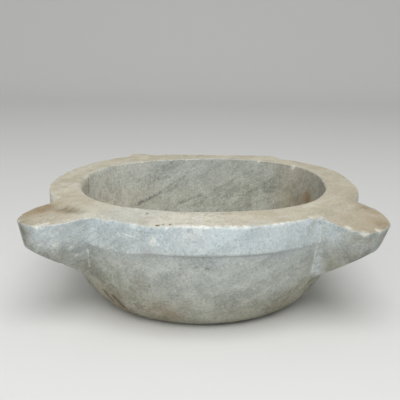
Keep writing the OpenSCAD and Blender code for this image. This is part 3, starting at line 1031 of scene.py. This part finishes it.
class Finish:
    """A material's shader, with one short call for each kind of node that the finishes use."""

    def __init__(self, name):
        self.material = bpy.data.materials.new(name)
        self.material.use_nodes = True
        self.nodes = self.material.node_tree.nodes
        self.links = self.material.node_tree.links
        self.shader = self.nodes["Principled BSDF"]
        self.place = self.nodes.new("ShaderNodeTexCoord").outputs["Object"]
        self.colour = None

    def feed(self, socket, value):
        """Links an output to a socket, or sets the socket to a plain value."""
        if isinstance(value, bpy.types.NodeSocket):
            self.links.new(value, socket)
        else:
            socket.default_value = value

    def set(self, name, value):
        """Feeds one of the shader's own inputs."""
        self.feed(self.shader.inputs[name], value)

    def add(self, kind, inputs, **settings):
        """The outputs of a new node of a kind, with its settings, and with inputs by name or number."""
        node = self.nodes.new("ShaderNode" + kind)
        for name, value in settings.items():
            setattr(node, name, value)
        for key, value in inputs.items():
            self.feed(node.inputs[key], value)
        return node.outputs

    def noise(self, where, size, detail=3.0, roughness=0.5, distortion=0.0):
        """Noise from 0 to 1 whose features are about a given size."""
        inputs = {"Vector": where, "Scale": 1.0 / size, "Detail": detail, "Roughness": roughness}
        return self.add("TexNoise", inputs | {"Distortion": distortion})["Fac"]

    def specks(self, where, size, radius, share):
        """Round specks: 1 at the middle of the given share of cells, 0 beyond the radius, in cell sizes."""
        cells = self.add("TexVoronoi", {"Vector": where, "Scale": 1.0 / size})
        chosen = self.remap(cells["Color"], 0.5 - share * 0.45 + 0.02, 0.5 - share * 0.45 - 0.02)
        return self.times(self.remap(cells["Distance"], radius, radius * 0.3), chosen)

    def vector(self, operation, a, b):
        """A sum on two vectors: its outputs are a vector and a plain value."""
        return self.add("VectorMath", {0: a, 1: b}, operation=operation)

    def lines(self, lines, wander):
        """Thin straight marks: the strongest of (start, end, half width, strength), each of which fades out
        with the distance to its nearest point between start and end. Wander roughens that distance."""
        total = 0.0
        for start, end, half, strength in lines:
            first = Vector(start) * MM
            run = Vector(end) * MM - first
            offset = self.vector("SUBTRACT", self.place, first)[0]
            share = self.calc("DIVIDE", self.vector("DOT_PRODUCT", offset, run)[1], run.length_squared)
            share = self.remap(share, 0.0, 1.0, ease="LINEAR")
            nearest = self.vector("MULTIPLY", run, share)[0]
            gap = self.plus(self.vector("DISTANCE", offset, nearest)[1], wander)
            total = self.most(total, self.remap(gap, half * MM, 0.2 * half * MM, 0.0, strength))
        return total

    def layers(self, turn, size):
        """Coordinates along the stone's bedding: turned, and stretched to a size along each turned axis."""
        inputs = {"Vector": self.place, "Rotation": [math.radians(a) for a in turn], "Scale": size}
        return self.add("Mapping", inputs, vector_type="TEXTURE")["Vector"]

    def remap(self, value, low, high, start=0.0, stop=1.0, ease="SMOOTHSTEP"):
        """Eases a value from start, at low, to stop, at high."""
        inputs = dict(enumerate((value, low, high, start, stop)))
        return self.add("MapRange", inputs, interpolation_type=ease)["Result"]

    def calc(self, operation, a, b):
        """A sum on two plain values."""
        return self.add("Math", {0: a, 1: b}, operation=operation)["Value"]

    def times(self, a, b):
        """One value times another."""
        return self.calc("MULTIPLY", a, b)

    def plus(self, a, b):
        """One value plus another."""
        return self.calc("ADD", a, b)

    def mix(self, share, a, b):
        """A colour between a, at share 0, and b, at share 1."""
        return self.add("Mix", {0: share, 6: a, 7: b}, data_type="RGBA")[2]

    def most(self, value, *others):
        """The greatest of some values."""
        for other in others:
            value = self.calc("MAXIMUM", value, other)
        return value

    def coat(self, share, colour):
        """Lays a colour over the finish so far, by a share."""
        self.colour = self.mix(share, self.colour, colour)

    def fleck(self, noise, low, high, share, colour):
        """Lays a colour on, by a share, where a noise passes from low to high."""
        self.coat(self.times(self.remap(noise, low, high), share), colour)

    def mark(self, name):
        """A mark stored on the mesh."""
        return self.add("Attribute", {}, attribute_name=name)["Fac"]

    def bump(self, height, depth, strength):
        """Bumps of a depth, in metres, in the shading."""
        inputs = {"Height": height, "Distance": depth, "Strength": strength}
        self.set("Normal", self.add("Bump", inputs)["Normal"])


def grey_marble():
    """Weathered grey marble: clouded and sugary, with grainy streaks and thin dark veins along its bedding,
    warm patina and painted warm light on the tops, and stains, grime, pale wear, painted shade and painted
    light where the stone is marked."""
    f = Finish("grey_marble")
    cloud = f.noise(f.place, 95 * MM, 3, 0.55)
    blotch = f.noise(f.place, 32 * MM, 5, 0.65)
    flecks = f.noise(f.place, 10 * MM, 3, 0.6)
    sugar = f.noise(f.place, 3.4 * MM, 4, 0.7)
    grain = f.noise(f.place, 1.6 * MM, 2, 0.6)
    patch = f.noise(f.place, 130 * MM, 2, 0.5)
    grainy = f.times(f.calc("SUBTRACT", sugar, 0.5), 0.3)
    streak = f.plus(f.noise(f.layers(BEDDING, STREAK_SIZE), 1.0, 5, 0.6, 0.6), grainy)
    vein = f.noise(f.layers(BEDDING, VEIN_SIZE), 1.0, 5, 0.6, 0.7)

    inside = f.mark("inside")
    olive_and_shade = f.mark("olive_and_shade")
    patina_and_warm_light = f.mark("patina_and_warm_light")
    f.colour = f.mix(f.remap(cloud, 0.36, 0.64), tint(174, 186, 190), tint(199, 211, 215))
    f.coat(f.times(inside, 0.8), tint(174, 179, 174))
    # Olive tone below the band and down the well; the mark also holds painted shade on the right lug, the
    # dull patches and the well's right wall
    olive = f.mix(f.remap(blotch, 0.38, 0.62), tint(146, 146, 129), tint(184, 184, 169))
    f.coat(f.times(olive_and_shade, 0.9), olive)
    # Darkest olive near the foot, and painted shade on the well's right wall
    f.coat(f.remap(olive_and_shade, 0.75, 1.1, 0.0, 0.35), tint(110, 105, 80))
    mottled = f.times(olive_and_shade, 0.3)
    f.fleck(flecks, 0.53, 0.68, mottled, tint(116, 116, 100))
    f.fleck(flecks, 0.47, 0.32, mottled, tint(204, 205, 192))
    # Warm tops: patina, and painted warm light falling on the tops
    warm = f.mix(f.remap(blotch, 0.36, 0.66), tint(182, 173, 149), tint(201, 194, 173))
    f.coat(f.times(patina_and_warm_light, 0.95), warm)

    streaky = f.remap(inside, 0.0, 1.0, 0.22, 0.36)
    f.fleck(streak, 0.5, 0.72, streaky, tint(108, 112, 108))
    f.fleck(streak, 0.46, 0.32, 0.25, tint(214, 218, 214))
    thin = f.remap(f.calc("ABSOLUTE", f.calc("SUBTRACT", vein, 0.5), 0.0), 0.016, 0.003)
    thin = f.times(thin, f.remap(patch, 0.5, 0.6))
    f.coat(f.times(thin, f.times(streaky, 0.9)), tint(92, 96, 94))

    sugary = f.remap(patina_and_warm_light, 0.0, 1.0, 0.42, 0.22)
    f.fleck(sugar, 0.52, 0.72, sugary, tint(112, 116, 110))
    sugary = f.times(sugary, f.remap(olive_and_shade, 0.3, 1.0, 1.0, 0.6))
    f.fleck(sugar, 0.48, 0.3, sugary, tint(236, 238, 236))
    f.fleck(grain, 0.55, 0.75, 0.22, tint(110, 112, 104))
    f.fleck(grain, 0.45, 0.25, 0.22, tint(240, 242, 240))

    # Brown stains, with brown painted shade over the well's right wall
    f.coat(f.times(f.mark("brown"), f.remap(blotch, 0.3, 0.6, 0.6, 1.0)), tint(134, 106, 68))
    wander = f.times(f.calc("SUBTRACT", flecks, 0.5), 3 * MM)
    veins = f.times(f.lines(WALL_VEINS, f.times(wander, 2.0)), f.remap(sugar, 0.4, 0.6, 0.5, 1.0))
    f.coat(veins, tint(84, 86, 82))
    # Pale wear, chips and chisel lines, with the painted light and highlights that the pale mark holds
    pale = f.times(f.mark("pale"), f.remap(flecks, 0.36, 0.58, 0.15, 1.0))
    pale = f.most(pale, f.mark("fresh"), f.lines(CHISEL_LINES, wander))
    f.coat(f.times(pale, f.remap(sugar, 0.62, 0.42, 0.45, 1.0)), tint(236, 237, 229))
    pits = f.specks(f.place, 24 * MM, 0.055, 0.35)
    # Grime, pits and nicks, with the painted shade that the grime mark holds
    dirt_and_shade = f.most(f.mark("grime_and_shade"), f.times(pits, 0.6), f.lines(DARK_NICKS, wander))
    f.coat(dirt_and_shade, tint(66, 58, 36))
    f.set("Base Color", f.colour)

    f.set("Roughness", f.remap(sugar, 0.3, 0.7, 0.66, 0.9))
    f.set("Specular IOR Level", 0.35)
    height = f.plus(f.times(flecks, 0.8), f.plus(f.times(sugar, 0.6), f.times(grain, 0.2)))
    f.bump(f.calc("SUBTRACT", height, f.times(pits, 0.8)), 1.4 * MM, 0.5)
    return f.material


def dull_lead():
    """Old lead: a dull blue-grey skin with pale bloom and small dents."""
    f = Finish("dull_lead")
    cloud = f.noise(f.place, 9 * MM, 4, 0.6)
    dents = f.noise(f.place, 2.4 * MM, 3, 0.6)
    f.set("Base Color", f.mix(f.remap(cloud, 0.35, 0.65), tint(92, 95, 100), tint(142, 145, 148)))
    f.set("Roughness", f.remap(dents, 0.3, 0.7, 0.5, 0.75))
    f.set("Metallic", 0.4)
    f.bump(dents, 0.6 * MM, 0.5)
    return f.material


def put(name, data):
    """A new object in the scene, at the origin."""
    obj = bpy.data.objects.new(name, data)
    bpy.context.scene.collection.objects.link(obj)
    return obj


def add_piece(name, mesh, node, material):
    """Puts a mesh in the scene at the origin, riding on the part and standing for its CAD node."""
    piece = put(name, mesh)
    mesh.materials.append(material)
    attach(piece, "root")
    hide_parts(node)


def carve_stone():
    """Carves the stone from its outline and gives it its finish."""
    stone = Stone(Outline())
    stone.work_by_hand()
    stone.chip()
    stone.keep_in_box()
    mesh = closed_mesh("marble_basin", stone.grid)
    set_marks(mesh, Marks(stone).all())
    add_piece("marble_basin", mesh, "basin", grey_marble())


def pale_floor():
    """A wide floor that curves up behind the object, on a quarter of an ellipse, into a backdrop."""
    half_w, front_y, bend_y, bend_d, bend_h = 6.0, -6.0, 3.0, 2.0, 4.0
    flat = 0.6
    x = np.linspace(-half_w, half_w, 13)
    t = np.linspace(0.0, 1.0, 40)
    turn = np.clip((t - flat) / (1 - flat), 0.0, 1.0) * math.pi / 2
    y = front_y + np.minimum(t / flat, 1.0) * (bend_y - front_y) + bend_d * np.sin(turn)
    z = bend_h * (1 - np.cos(turn))
    points = np.stack(np.broadcast_arrays(x[None, :], y[:, None], z[:, None]), axis=-1)
    index = np.arange(x.size * y.size).reshape(y.size, x.size)
    mesh = mesh_from("floor", points.reshape(-1, 3), grid_faces(index))
    floor = put("floor", mesh)
    paint = Finish("floor_paint")
    paint.set("Base Color", tint(226, 226, 224))
    paint.set("Roughness", 0.9)
    mesh.materials.append(paint.material)


def soft_light(name, place, aim, size, power):
    """A square area lamp at a place, turned to face an aim point."""
    lamp = bpy.data.lights.new(name, "AREA")
    lamp.size = size
    lamp.energy = power
    obj = put(name, lamp)
    obj.location = place
    obj.rotation_mode = "QUATERNION"
    obj.rotation_quaternion = (Vector(aim) - Vector(place)).to_track_quat("-Z", "Y")


def studio():
    """Even soft light: a pale world, a wide key from above the front and a weaker fill from the left."""
    world = bpy.data.worlds.new("studio")
    bpy.context.scene.world = world
    world.use_nodes = True
    background = world.node_tree.nodes["Background"]
    background.inputs["Color"].default_value = (1, 1, 1, 1)
    background.inputs["Strength"].default_value = 0.45
    soft_light("key", (0.2, -1.5, 2.5), (0, 0, 0.1), 2.0, 54)
    soft_light("fill", (-1.9, -1.6, 1.1), (0, 0, 0.1), 1.6, 10)


def photo_camera():
    """The camera, placed and turned as in the photograph."""
    place = (0.0, -EYE_BACK * RIM_R, HEIGHT + EYE_ABOVE_RIM * RIM_R)
    pitch, yaw, roll = math.radians(PITCH), math.radians(YAW), math.radians(ROLL)
    forward = np.array([math.sin(yaw) * math.cos(pitch), math.cos(yaw) * math.cos(pitch), -math.sin(pitch)])
    level = np.array([math.cos(yaw), -math.sin(yaw), 0.0])
    upright = np.cross(level, forward)
    right = math.cos(roll) * level + math.sin(roll) * upright
    up = -math.sin(roll) * level + math.cos(roll) * upright
    matrix = np.eye(4)
    matrix[:3, :4] = np.stack([right, up, -forward, place], axis=1)
    data = bpy.data.cameras.new("camera")
    data.sensor_width = 36.0
    data.lens = data.sensor_width * FOCAL_PX / PHOTO_PX
    camera = put("camera", data)
    camera.matrix_world = Matrix(matrix.tolist())
    bpy.context.scene.camera = camera


carve_stone()
add_piece("lead_sleeve_ring", lead_ring(), "lead_sleeve", dull_lead())
pale_floor()
studio()
photo_camera()
bpy.context.scene.view_settings.view_transform = "Standard"
